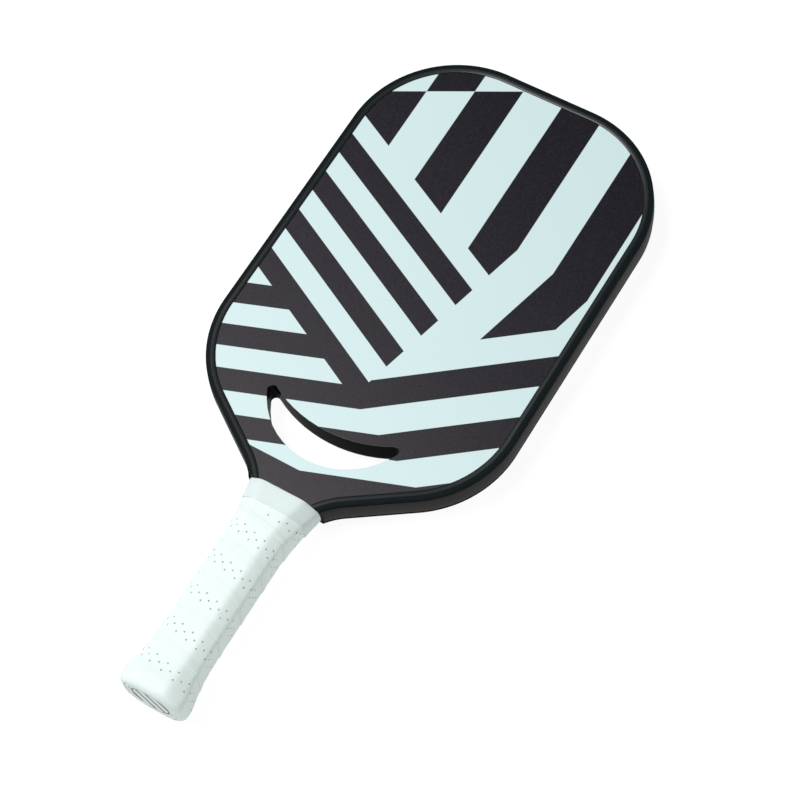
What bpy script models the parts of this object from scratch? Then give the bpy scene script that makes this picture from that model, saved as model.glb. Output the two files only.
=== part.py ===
"""Pickleball paddle, built as its separate pieces.

A honeycomb core, ringed by foam, is bonded between two carbon faces. The panel narrows to a tongue
that runs down inside the handle between two moulded shells. An edge guard clips round the head, a
liner rings the slot above the throat, and the handle carries a butt cap with its badge, a wrapped
grip, the tape that holds the grip's end and a rubber collar.

Frame: the paddle lies flat with its front face up. +Z is the face normal, +Y runs from the handle to
the head and +X to the right. The origin is under the middle of the paddle, on the plane that its
lowest point touches. Lengths are in metres.
"""

from math import asin, atan2, cos, pi, radians, sin, sqrt

import bmesh
import bpy
from mathutils import Vector

MM = 0.001

# ---- Driving dimensions ----------------------------------------------------------------------------
LENGTH = 421 * MM
WIDTH = 188 * MM
PANEL_THICKNESS = 16 * MM
GUARD_THICKNESS = 17.6 * MM
BUTT_THICKNESS = 34 * MM
HANDLE_LENGTH = 131.5 * MM          # butt end to the collar's top edge
FIT_GAP = 0.3 * MM                  # clearance kept between neighbouring pieces

# Head outline: one corner radius all round, straight shoulders, a concave throat.
CORNER_RADIUS = 66 * MM
LOWER_CORNER_Y = 5.7 * MM           # height of the lower corners' centres
SHOULDER_ANGLE = radians(33.9)      # fall of the shoulder below the horizontal
THROAT_RADIUS = 40 * MM
THROAT_HALF_WIDTH = 14.6 * MM       # where the throat arc would run straight down

# Slot above the throat: two arcs that meet in rounded ends.
SLOT_TOP_CENTRE_Y, SLOT_TOP_RADIUS = 42.1 * MM, 79 * MM
SLOT_BOTTOM_CENTRE_Y, SLOT_BOTTOM_RADIUS = -10.7 * MM, 46.3 * MM
SLOT_END_RADIUS = 2.8 * MM

# Panel build-up.
SHEET_THICKNESS = 0.7 * MM
GUARD_WALL = 1.3 * MM
LIP_THICKNESS = (GUARD_THICKNESS - PANEL_THICKNESS) / 2 - FIT_GAP
FOAM_WIDTH = 8 * MM
SLOT_FOAM_WIDTH = 5 * MM
LINER_WALL = 0.8 * MM
TONGUE_HALF_WIDTH = 10.5 * MM
TONGUE_FLARE_RADIUS = 200 * MM
TONGUE_END = 6.5 * MM               # from the butt end

# Guard section, upper half: (distance in from the outer edge, depth below the lip's top).
# A crowned side wall, a fine groove, a rounded bead, then the lip that lies on the face.
GUARD_SECTION = [
    (0.00 * MM, GUARD_THICKNESS / 2),
    (0.10 * MM, 4.8 * MM),
    (0.38 * MM, 2.3 * MM),
    (0.85 * MM, 1.9 * MM),
    (0.85 * MM, 1.6 * MM),
    (0.45 * MM, 1.2 * MM),
    (0.70 * MM, 0.4 * MM),
    (1.40 * MM, 0.0),
    (5.00 * MM, 0.0),
    (5.30 * MM, 0.2 * MM),
    (5.30 * MM, LIP_THICKNESS),
    (GUARD_WALL, LIP_THICKNESS),
]

# Outside of the wrapped handle: distance from the butt end, then half width, half thickness, and
# how far from the axis its four chamfer facets lie.
HANDLE_STATIONS = [
    tuple(value * MM for value in row)
    for row in (
        (1.6, 17.6, 15.6, 17.8),
        (2.4, 18.5, 16.3, 18.8),
        (4.0, 19.1, 16.9, 19.4),
        (6.0, 19.3, 17.0, 19.6),
        (9.0, 19.1, 16.9, 19.4),
        (12.0, 18.5, 16.3, 18.9),
        (16.0, 17.6, 15.5, 18.1),
        (21.0, 16.8, 14.8, 17.3),
        (28.0, 16.1, 14.1, 16.7),
        (36.0, 15.8, 13.9, 16.5),
        (48.0, 15.7, 13.8, 16.4),
        (96.0, 15.7, 13.8, 16.4),
        (103.5, 16.2, 13.8, 16.5),
        (109.5, 17.0, 13.6, 16.7),
        (116.0, 18.3, 13.2, 16.8),
        (122.5, 19.4, 12.4, 16.8),
        (128.5, 20.7, 11.3, 16.7),
        (131.5, 21.3, 10.8, 16.6),
    )
]
CHAMFER_NORMAL = Vector((5.3, 6.7)).normalized()   # facing of the upper right chamfer facet
GRIP_TAPE = 1.5 * MM
GRIP_CORNER_CUT = 2.4 * MM          # how far each facet's corner is rounded back outside
GRIP_INNER_CUT = 0.8 * MM           # and inside, over the shells' sharper corners
FINISHING_TAPE = 0.4 * MM
COLLAR_WALL = 0.9 * MM
COLLAR_BOTTOM = 119.2 * MM          # from the butt end, as are the next five
GRIP_TOP = 130 * MM
GRIP_STEP = 120.2 * MM              # above it the grip is thinned for the finishing tape
FINISHING_TAPE_TOP = 128.5 * MM
CAP_TOP = 22.5 * MM
CAP_POCKET_FLOOR = 5.3 * MM
CAP_POCKET = (13.1 * MM, 11.2 * MM, 13.7 * MM)     # half width, half thickness, chamfer distance
CAP_END_ROUNDING = [(1.3 * MM, 0.0), (0.4 * MM, 0.3 * MM), (0.0, 0.9 * MM)]   # from the butt end, inset
BADGE_HALF_WIDTH, BADGE_HALF_HEIGHT = 13.2 * MM, 11.4 * MM
BADGE_THICKNESS = 1.0 * MM
BADGE_SINK = 0.2 * MM               # how far the badge's face lies below the cap's end

# ---- Derived positions -----------------------------------------------------------------------------
HEAD_TOP = LENGTH / 2
BUTT_END = -LENGTH / 2
COLLAR_TOP = BUTT_END + HANDLE_LENGTH
SHOULDER_Y = COLLAR_TOP + FIT_GAP   # the guard and the panel's full width stop here
MID_Z = BUTT_THICKNESS / 2
CORNER_X = WIDTH / 2 - CORNER_RADIUS
PANEL_INSET = GUARD_WALL + FIT_GAP
CORE_HALF = PANEL_THICKNESS / 2 - SHEET_THICKNESS - FIT_GAP
SHELL_OFFSET = GRIP_TAPE + FIT_GAP


def clear_scene():
    """Removes every object that a new scene starts with."""
    for obj in list(bpy.data.objects):
        bpy.data.objects.remove(obj, do_unlink=True)


def plain_material(name, color, roughness, metallic=0.0):
    """A Principled material with one colour."""
    material = bpy.data.materials.new(name)
    material.use_nodes = True
    shader = material.node_tree.nodes["Principled BSDF"]
    shader.inputs["Base Color"].default_value = (*color, 1.0)
    shader.inputs["Roughness"].default_value = roughness
    shader.inputs["Metallic"].default_value = metallic
    return material


def arc(centre, radius, start, end, steps):
    """Points from one angle to another round a centre, both ends included."""
    angles = (start + (end - start) * i / steps for i in range(steps + 1))
    return [(centre[0] + radius * cos(a), centre[1] + radius * sin(a)) for a in angles]


def mirrored(right_half):
    """A closed outline from its right half, listed from the top centre down to the bottom centre."""
    return right_half + [(-x, y) for x, y in reversed(right_half) if x > 0]


# ---- Outlines ---------------------------------------------------------------------------------------
def head_half(inset, end_y=SHOULDER_Y):
    """Right half of the head's outline, moved in by inset, from the top to the height end_y."""
    radius = CORNER_RADIUS - inset
    turn = pi / 2 - SHOULDER_ANGLE
    normal = Vector((sin(SHOULDER_ANGLE), -cos(SHOULDER_ANGLE)))
    reach = normal.dot((CORNER_X, LOWER_CORNER_Y)) + CORNER_RADIUS + THROAT_RADIUS
    throat_x = THROAT_HALF_WIDTH + THROAT_RADIUS
    throat_y = (reach - normal.x * throat_x) / normal.y
    throat_radius = THROAT_RADIUS + inset
    last = pi - asin((end_y - throat_y) / throat_radius)
    return (
        arc((CORNER_X, HEAD_TOP - CORNER_RADIUS), radius, pi / 2, 0, 14)
        + arc((CORNER_X, LOWER_CORNER_Y), radius, 0, -turn, 9)
        + arc((throat_x, throat_y), throat_radius, pi - turn, last, 5)
    )


def slot_outline(outset):
    """The slot's closed outline, moved out by outset."""
    top = SLOT_TOP_RADIUS + SLOT_END_RADIUS
    bottom = SLOT_BOTTOM_RADIUS - SLOT_END_RADIUS
    apart = SLOT_TOP_CENTRE_Y - SLOT_BOTTOM_CENTRE_Y
    drop = (top**2 - bottom**2 + apart**2) / (2 * apart)
    end_x, end_y = sqrt(top**2 - drop**2), SLOT_TOP_CENTRE_Y - drop
    low = atan2(end_y - SLOT_BOTTOM_CENTRE_Y, end_x)
    high = atan2(SLOT_TOP_CENTRE_Y - end_y, -end_x)
    end_radius = SLOT_END_RADIUS + outset
    right_end = arc((end_x, end_y), end_radius, low, high, 7)
    left_end = arc((-end_x, end_y), end_radius, pi - high, pi - low, 7)
    upper = arc((0, SLOT_TOP_CENTRE_Y), SLOT_TOP_RADIUS - outset, high - pi, -high, 14)
    lower = arc((0, SLOT_BOTTOM_CENTRE_Y), SLOT_BOTTOM_RADIUS + outset, -pi - low, low, 18)
    return right_end + upper[1:-1] + left_end + lower[1:-1]


def tongue_half_width(y):
    """Half width of the faces' tongue, which flares into the throat on one concave arc."""
    flare_start = COLLAR_TOP - 25 * MM
    rise = max(0.0, y - flare_start)
    return TONGUE_HALF_WIDTH + TONGUE_FLARE_RADIUS - sqrt(TONGUE_FLARE_RADIUS**2 - rise**2)


def face_outline():
    """Outline of a carbon face: the head inside the guard, a step at the collar, then the tongue."""
    neck = [SHOULDER_Y - step * 5 * MM for step in range(6)] + [BUTT_END + TONGUE_END]
    return mirrored(head_half(PANEL_INSET) + [(tongue_half_width(y), y) for y in neck])


def core_outline():
    """Outline of the honeycomb core: inside the foam round the head, then a straight tongue."""
    inset = PANEL_INSET + FOAM_WIDTH + FIT_GAP
    half = TONGUE_HALF_WIDTH - FIT_GAP
    return mirrored(head_half(inset) + [(half, SHOULDER_Y), (half, BUTT_END + TONGUE_END)])


def foam_outline():
    """Outline of the foam strip, which follows the panel's edge from one throat to the other."""
    outer = head_half(PANEL_INSET)
    inner = head_half(PANEL_INSET + FOAM_WIDTH)
    left_outer = [(-x, y) for x, y in outer]
    left_inner = [(-x, y) for x, y in inner]
    return left_outer[::-1] + outer + inner[::-1] + left_inner


def handle_size(from_butt, offset=0.0):
    """Half width, half thickness and chamfer distance of the wrapped handle, moved in by offset."""
    below, above = HANDLE_STATIONS[0], HANDLE_STATIONS[-1]
    for first, second in zip(HANDLE_STATIONS, HANDLE_STATIONS[1:]):
        if first[0] <= from_butt <= second[0]:
            below, above = first, second
    share = (from_butt - below[0]) / (above[0] - below[0])
    return [low + (high - low) * share - offset for low, high in zip(below[1:], above[1:])]


def handle_cuts(start, end):
    """Distances from the butt end at which the handle's sections are drawn."""
    return [start] + [row[0] for row in HANDLE_STATIONS if start < row[0] < end] + [end]


def octagon(half_width, half_thickness, chamfer):
    """The eight corners of a handle section, anticlockwise from the right-hand side."""
    side = (chamfer - half_width * CHAMFER_NORMAL.x) / CHAMFER_NORMAL.y
    top = (chamfer - half_thickness * CHAMFER_NORMAL.y) / CHAMFER_NORMAL.x
    corners = [(half_width, side), (top, half_thickness)]
    corners += [(-x, z) for x, z in reversed(corners)]
    return corners + [(-x, -z) for x, z in corners]


def rounded(corners, cut):
    """The outline with each corner turned into three points of a soft curve."""
    points = []
    for i, corner in enumerate(corners):
        here = Vector(corner)
        back, ahead = Vector(corners[i - 1]) - here, Vector(corners[(i + 1) % len(corners)]) - here
        start = here + back.normalized() * min(cut, back.length * 0.4)
        end = here + ahead.normalized() * min(cut, ahead.length * 0.4)
        points += [start, (start + end) * 0.25 + here * 0.5, end]
    return [(point.x, point.y) for point in points]


def oval(half_width, half_height, steps=32):
    """A full oval, squarer than an ellipse."""
    points = []
    for i in range(steps):
        angle = 2 * pi * i / steps
        c, s = cos(angle), sin(angle)
        points.append((half_width * abs(c) ** 0.85 * (1 if c > 0 else -1),
                       half_height * abs(s) ** 0.85 * (1 if s > 0 else -1)))
    return points


# ---- Solids -----------------------------------------------------------------------------------------
def finished(name, bm, material, parent):
    """Turns a bmesh into a named object, with smooth shading between gentle faces."""
    bmesh.ops.recalc_face_normals(bm, faces=bm.faces)
    mesh = bpy.data.meshes.new(name)
    bm.to_mesh(mesh)
    bm.free()
    mesh.shade_smooth()
    mesh.set_sharp_from_angle(angle=radians(35))
    mesh.materials.append(material)
    obj = bpy.data.objects.new(name, mesh)
    obj.parent = parent
    bpy.context.scene.collection.objects.link(obj)
    return obj


def plate(name, outline, bottom, top, material, parent):
    """An outline in the XY plane, extruded from one height to another."""
    bm = bmesh.new()
    face = bm.faces.new([bm.verts.new((x, y, bottom)) for x, y in outline])
    extruded = bmesh.ops.extrude_face_region(bm, geom=[face])
    moved = [item for item in extruded["geom"] if isinstance(item, bmesh.types.BMVert)]
    bmesh.ops.translate(bm, verts=moved, vec=(0, 0, top - bottom))
    return finished(name, bm, material, parent)


def skin(name, rings, material, parent, closed=False):
    """A surface over rings of points. It is capped at both ends, or joined end to end if closed."""
    bm = bmesh.new()
    loops = [[bm.verts.new(point) for point in ring] for ring in rings]
    pairs = list(zip(loops, loops[1:])) + ([(loops[-1], loops[0])] if closed else [])
    for lower, upper in pairs:
        for i in range(len(lower)):
            bm.faces.new((lower[i - 1], lower[i], upper[i], upper[i - 1]))
    if not closed:
        bm.faces.new(loops[0])
        bm.faces.new(loops[-1])
    return finished(name, bm, material, parent)


def across(section, y):
    """Section points (x, z) placed across the handle at y."""
    return [(x, y, z) for x, z in section]


def sleeve(name, outer, inner, material, parent):
    """A tube between two lists of rings that run the same way."""
    return skin(name, outer + inner[::-1], material, parent, closed=True)


def wrapped_rings(start, end, offset, cut=GRIP_CORNER_CUT):
    """Rounded handle sections between two distances from the butt end, moved in by offset."""
    return [
        across(rounded(octagon(*handle_size(d, offset)), cut), BUTT_END + d)
        for d in handle_cuts(start, end)
    ]


def cut_slot(target, outset, parent):
    """Cuts the slot, moved out by outset, right through a plate."""
    reach = PANEL_THICKNESS
    name = target.name + "_slot_cutter"
    cutter = plate(name, slot_outline(outset), -reach, reach, None, parent)
    cutter.hide_render = True
    cutter.display_type = "WIRE"
    cut = target.modifiers.new("slot", "BOOLEAN")
    cut.operation = "DIFFERENCE"
    cut.solver = "EXACT"
    cut.object = cutter


# ---- Pieces -----------------------------------------------------------------------------------------
def build_panel(parent):
    """The core, its foam and the two carbon faces."""
    carbon = plain_material("printed_carbon", (0.04, 0.04, 0.05), 0.6)
    honeycomb = plain_material("polymer_honeycomb", (0.82, 0.83, 0.80), 0.5)
    foam = plain_material("edge_foam", (0.75, 0.62, 0.35), 0.9)
    liner_out = LINER_WALL + FIT_GAP

    core = plate("honeycomb_core", core_outline(), -CORE_HALF, CORE_HALF, honeycomb, parent)
    cut_slot(core, liner_out + SLOT_FOAM_WIDTH + FIT_GAP, parent)
    plate("edge_foam", foam_outline(), -CORE_HALF, CORE_HALF, foam, parent)
    slot_foam = plate("slot_foam", slot_outline(liner_out + SLOT_FOAM_WIDTH), -CORE_HALF, CORE_HALF,
                      foam, parent)
    cut_slot(slot_foam, liner_out, parent)

    outside, inside = PANEL_THICKNESS / 2, PANEL_THICKNESS / 2 - SHEET_THICKNESS
    for name, low, high in (("front_face", inside, outside), ("back_face", -outside, -inside)):
        sheet = plate(name, face_outline(), low, high, carbon, parent)
        cut_slot(sheet, 0.0, parent)


def build_edge_guard(parent):
    """The channel that clips over the panel's edge, from one side of the throat to the other."""
    plastic = plain_material("guard_plastic", (0.02, 0.025, 0.028), 0.45)
    upper_half = [(inset, GUARD_THICKNESS / 2 - depth) for inset, depth in GUARD_SECTION]
    lower_half = [(inset, -z) for inset, z in reversed(upper_half[1:])]
    strands = []
    for inset, z in lower_half + upper_half:
        right = head_half(inset)
        strands.append([(-x, y, z) for x, y in reversed(right)] + [(x, y, z) for x, y in right])
    skin("edge_guard", list(zip(*strands)), plastic, parent)


def build_slot_liner(parent):
    """The thin ring that lines the slot between the two faces, flush with their cut edges."""
    plastic = plain_material("liner_plastic", (0.01, 0.01, 0.012), 0.6)
    section = [(0.0, -CORE_HALF), (0.0, CORE_HALF), (LINER_WALL, CORE_HALF), (LINER_WALL, -CORE_HALF)]
    rings = [[(x, y, z) for x, y in slot_outline(outset)] for outset, z in section]
    skin("slot_liner", rings, plastic, parent, closed=True)


def shell_section(from_butt, size, side):
    """Half of the handle's octagon with the channel for the tongue: side 1 is the front, -1 the back."""
    corners = octagon(*size)[:4]
    channel = tongue_half_width(BUTT_END + from_butt) + FIT_GAP
    depth, parting = PANEL_THICKNESS / 2 + FIT_GAP, FIT_GAP / 2
    outline = [(size[0], parting), *corners, (-size[0], parting),
               (-channel, parting), (-channel, depth), (channel, depth), (channel, parting)]
    return across([(x, side * z) for x, z in outline], BUTT_END + from_butt)


def build_handle(parent):
    """The two moulded shells over the tongue, and the butt cap with its badge."""
    pallet = plain_material("shell_plastic", (0.10, 0.10, 0.11), 0.7)
    white = plain_material("cap_plastic", (0.86, 0.90, 0.89), 0.5)
    grey = plain_material("badge_plastic", (0.55, 0.56, 0.56), 0.4)
    step = CAP_TOP + FIT_GAP
    spigot = [value - FIT_GAP for value in CAP_POCKET]
    cuts = [(CAP_POCKET_FLOOR + FIT_GAP, spigot), (step, spigot)]
    cuts += [(d, handle_size(d, SHELL_OFFSET)) for d in handle_cuts(step, HANDLE_LENGTH - FIT_GAP)]
    for name, side in (("handle_shell_front", 1), ("handle_shell_back", -1)):
        skin(name, [shell_section(d, size, side) for d, size in cuts], pallet, parent)

    first = handle_size(HANDLE_STATIONS[0][0], SHELL_OFFSET)
    rings = [across(octagon(*handle_size(d, SHELL_OFFSET)), BUTT_END + d)
             for d in reversed(handle_cuts(HANDLE_STATIONS[0][0], CAP_TOP))]
    rings += [across(octagon(*(value - inset for value in first)), BUTT_END + d)
              for d, inset in CAP_END_ROUNDING]
    pocket = [across(octagon(*CAP_POCKET), BUTT_END + d) for d in (CAP_POCKET_FLOOR, CAP_TOP)]
    cap = skin("butt_cap", pocket + rings, white, parent)

    recess_floor = BADGE_SINK + BADGE_THICKNESS + FIT_GAP
    recess = oval(BADGE_HALF_WIDTH + FIT_GAP, BADGE_HALF_HEIGHT + FIT_GAP)
    cutter = skin("cap_recess_cutter",
                  [across(recess, BUTT_END - 2 * MM), across(recess, BUTT_END + recess_floor)],
                  None, parent)
    cutter.hide_render = True
    cutter.display_type = "WIRE"
    cut = cap.modifiers.new("badge_recess", "BOOLEAN")
    cut.operation = "DIFFERENCE"
    cut.solver = "EXACT"
    cut.object = cutter

    badge = oval(BADGE_HALF_WIDTH, BADGE_HALF_HEIGHT)
    skin("butt_badge",
         [across(badge, BUTT_END + BADGE_SINK), across(badge, BUTT_END + BADGE_SINK + BADGE_THICKNESS)],
         grey, parent)


def build_grip(parent):
    """The wrapped grip, the tape round its top end and the rubber collar over both."""
    leather = plain_material("grip_tape", (0.88, 0.92, 0.91), 0.6)
    tape = plain_material("finishing_tape", (0.05, 0.05, 0.05), 0.4)
    rubber = plain_material("collar_rubber", (0.84, 0.89, 0.89), 0.55)
    foot = HANDLE_STATIONS[0][0]
    thinned = FINISHING_TAPE + FIT_GAP
    outer = wrapped_rings(foot, GRIP_STEP, 0.0) + wrapped_rings(GRIP_STEP + FIT_GAP, GRIP_TOP, thinned)
    inner = wrapped_rings(foot, GRIP_TOP, GRIP_TAPE, GRIP_INNER_CUT)
    sleeve("grip_wrap", outer, inner, leather, parent)

    band = (GRIP_STEP + 2 * FIT_GAP, FINISHING_TAPE_TOP)
    sleeve("finishing_tape", wrapped_rings(*band, 0.0), wrapped_rings(*band, FINISHING_TAPE), tape, parent)

    band = (COLLAR_BOTTOM, HANDLE_LENGTH)
    sleeve("grip_collar", wrapped_rings(*band, -FIT_GAP - COLLAR_WALL), wrapped_rings(*band, -FIT_GAP),
           rubber, parent)


def main():
    """Builds every piece round the paddle's mid-plane."""
    clear_scene()
    mid_plane = bpy.data.objects.new("mid_plane", None)
    mid_plane.location.z = MID_Z
    bpy.context.scene.collection.objects.link(mid_plane)
    build_panel(mid_plane)
    build_edge_guard(mid_plane)
    build_slot_liner(mid_plane)
    build_handle(mid_plane)
    build_grip(mid_plane)


main()
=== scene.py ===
"""Looks of the pickleball paddle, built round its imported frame.

Each sub-assembly is a class that knows its own sizes, builds its surfaces and dresses them. Sizes are
in millimetres in the paddle's own axes: X across the head, Y from the butt to the head, Z out of the
front face, with the height counted from the panel's mid-plane. Skin.make turns them into metres.
"""

import logging
from dataclasses import dataclass
from enum import Enum
from math import atan2, cos, pi, radians, sin, sqrt
from typing import Any, Optional, Union

import bmesh
import bpy
import numpy as np
from mathutils import Matrix, Vector


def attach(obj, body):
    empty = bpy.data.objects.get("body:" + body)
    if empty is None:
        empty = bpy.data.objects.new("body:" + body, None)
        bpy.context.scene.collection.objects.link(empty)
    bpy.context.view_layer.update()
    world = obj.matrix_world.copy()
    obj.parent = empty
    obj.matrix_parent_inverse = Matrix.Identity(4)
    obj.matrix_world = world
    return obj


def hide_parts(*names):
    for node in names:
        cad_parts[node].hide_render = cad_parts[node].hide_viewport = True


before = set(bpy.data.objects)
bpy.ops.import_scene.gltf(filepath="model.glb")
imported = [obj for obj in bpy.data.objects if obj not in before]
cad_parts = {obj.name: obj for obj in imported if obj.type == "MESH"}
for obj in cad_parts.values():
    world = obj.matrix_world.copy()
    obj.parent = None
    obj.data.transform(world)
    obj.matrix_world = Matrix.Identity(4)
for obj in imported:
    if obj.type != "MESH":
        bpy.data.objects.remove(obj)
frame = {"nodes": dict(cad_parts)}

log = logging.getLogger("paddle")

MM = 0.001
MID_HEIGHT = 17.0          # mid-plane above the ground, mm
BUTT_Y = -210.5            # the butt end
BODY = "root"
Colour = tuple[float, float, float]
Number = Union["Value", float]


# ---- Shader graph ------------------------------------------------------------------------------------
class Value:
    """A number that varies over a surface; sums and products on it add Math nodes."""

    def __init__(self, graph: "Graph", socket: bpy.types.NodeSocket) -> None:
        """Wraps one output socket of a graph."""
        self.graph = graph
        self.socket = socket

    def _math(self, operation: str, *values: Number) -> "Value":
        """A Math node on the given values."""
        return self.graph.math(operation, *values)

    def __add__(self, other: Number) -> "Value":
        """self + other."""
        return self._math("ADD", self, other)

    def __radd__(self, other: Number) -> "Value":
        """other + self."""
        return self._math("ADD", other, self)

    def __sub__(self, other: Number) -> "Value":
        """self - other."""
        return self._math("SUBTRACT", self, other)

    def __rsub__(self, other: Number) -> "Value":
        """other - self."""
        return self._math("SUBTRACT", other, self)

    def __mul__(self, other: Number) -> "Value":
        """self * other."""
        return self._math("MULTIPLY", self, other)

    def __truediv__(self, other: Number) -> "Value":
        """self / other."""
        return self._math("DIVIDE", self, other)

    def abs(self) -> "Value":
        """The value without its sign."""
        return self._math("ABSOLUTE", self)

    def fraction(self) -> "Value":
        """What is left of the value above its whole part."""
        return self._math("FRACT", self)

    def sine(self) -> "Value":
        """The sine of the value, in radians."""
        return self._math("SINE", self)

    def at_most(self, other: Number) -> "Value":
        """The smaller of two values."""
        return self._math("MINIMUM", self, other)

    def at_least(self, other: Number) -> "Value":
        """The larger of two values."""
        return self._math("MAXIMUM", self, other)

    def above(self, limit: Number, blur: float) -> "Value":
        """A mask that rises from 0 to 1 over a width of blur round the limit."""
        rise = (self - limit) / blur + 0.5
        rise.socket.node.use_clamp = True
        return rise

    def toward(self, other: Number, share: Number) -> "Value":
        """Moves from this value to another by a share from 0 to 1."""
        return self + (other - self) * share


class Graph:
    """The nodes of one material round its Principled shader."""

    def __init__(self, name: str) -> None:
        """Makes a material with a plain shader."""
        self.material = bpy.data.materials.new(name)
        self.material.use_nodes = True
        self.tree = self.material.node_tree
        self.shader = self.tree.nodes["Principled BSDF"]

    def node(self, kind: str, settings: Optional[dict[str, Any]] = None,
             inputs: Optional[dict[Union[str, int], Any]] = None) -> bpy.types.Node:
        """Adds a node.

        Args:
            kind: the node's type, such as ShaderNodeTexNoise.
            settings: properties set first, such as an operation.
            inputs: socket name or number, to a value, a colour, a vector, a socket or a Value.

        Returns:
            The new node.
        """
        made = self.tree.nodes.new(kind)
        for key, setting in (settings or {}).items():
            setattr(made, key, setting)
        for key, value in (inputs or {}).items():
            self.feed(made.inputs[key], value)
        return made

    def feed(self, socket: bpy.types.NodeSocket, value: Any) -> None:
        """Links a socket to a Value or another socket, or sets a constant on it."""
        if isinstance(value, Value):
            self.tree.links.new(value.socket, socket)
        elif isinstance(value, bpy.types.NodeSocket):
            self.tree.links.new(value, socket)
        elif isinstance(value, tuple) and len(value) == 3 and socket.type == "RGBA":
            socket.default_value = (*value, 1.0)
        else:
            socket.default_value = value

    def math(self, operation: str, *values: Number) -> Value:
        """The result of a Math node."""
        node = self.node("ShaderNodeMath", {"operation": operation}, dict(enumerate(values)))
        return Value(self, node.outputs[0])

    def place(self) -> tuple[Value, Value, Value]:
        """The point's own X, Y and Z in millimetres."""
        parts = self.node("ShaderNodeSeparateXYZ", inputs={0: self.spot()})
        return tuple(Value(self, parts.outputs[i]) * (1 / MM) for i in range(3))

    def spot(self) -> bpy.types.NodeSocket:
        """The point's own place as a vector, in metres."""
        return self.node("ShaderNodeTexCoord").outputs["Object"]

    def mark(self, name: str) -> Value:
        """A number stored on the mesh."""
        node = self.node("ShaderNodeAttribute", {"attribute_type": "GEOMETRY", "attribute_name": name})
        return Value(self, node.outputs["Fac"])

    def noise(self, size: float, detail: float) -> Value:
        """Soft noise from 0 to 1 whose blobs are about size millimetres across."""
        inputs = {"Vector": self.spot(), "Scale": 1 / (size * MM), "Detail": detail}
        return Value(self, self.node("ShaderNodeTexNoise", inputs=inputs).outputs[0])

    def blend(self, share: Number, first: Any, second: Any) -> bpy.types.NodeSocket:
        """A colour between two, by a share from 0 to 1."""
        node = self.node("ShaderNodeMix", {"data_type": "RGBA"}, {0: share, 6: first, 7: second})
        return node.outputs[2]

    def relief(self, height: Value, depth: float, under: Any = None) -> bpy.types.NodeSocket:
        """A bumped normal from a height from 0 to 1 that stands depth millimetres at most."""
        inputs = {"Height": height, "Distance": depth * MM, "Strength": 1.0}
        if under is not None:
            inputs["Normal"] = under
        return self.node("ShaderNodeBump", inputs=inputs).outputs[0]

    def dress(self, **sockets: Any) -> bpy.types.Material:
        """Sets the shader's sockets by name, with _ for a space, and returns the material."""
        for name, value in sockets.items():
            self.feed(self.shader.inputs[name.replace("_", " ")], value)
        return self.material


# ---- Finishes ----------------------------------------------------------------------------------------
class Way(Enum):
    """Which way a set of printed bands runs: the direction square to the bands, in degrees."""

    UPRIGHT = 0.0
    FALLING = 63.435
    LEANING = -15.0
    STEEP = 126.87
    RISING = 109.8


@dataclass(frozen=True)
class Bands:
    """Evenly spaced straight bands of pale print on dark."""

    way: Way
    period: float
    pale: float                       # share of the period that is pale
    start: float                      # distance of one pale band's middle from the origin

    def draw(self, x: Value, y: Value, blur: float) -> Value:
        """A mask that is 1 on the pale bands: distance across them, folded about each middle."""
        turn = radians(self.way.value)
        across = (x * cos(turn) + y * sin(turn) - self.start) / self.period + 0.5
        fold = (across.fraction() - 0.5).abs() * self.period
        return 1 - fold.above(self.period * self.pale / 2, blur)


@dataclass(frozen=True)
class Border:
    """A straight border between two fields of bands."""

    through: tuple[float, float]
    facing: float                     # direction square to the border, in degrees

    def draw(self, x: Value, y: Value, blur: float) -> Value:
        """A mask that is 1 on the side that the border faces."""
        turn = radians(self.facing)
        level = self.through[0] * cos(turn) + self.through[1] * sin(turn)
        return (x * cos(turn) + y * sin(turn)).above(level, blur)


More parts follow.
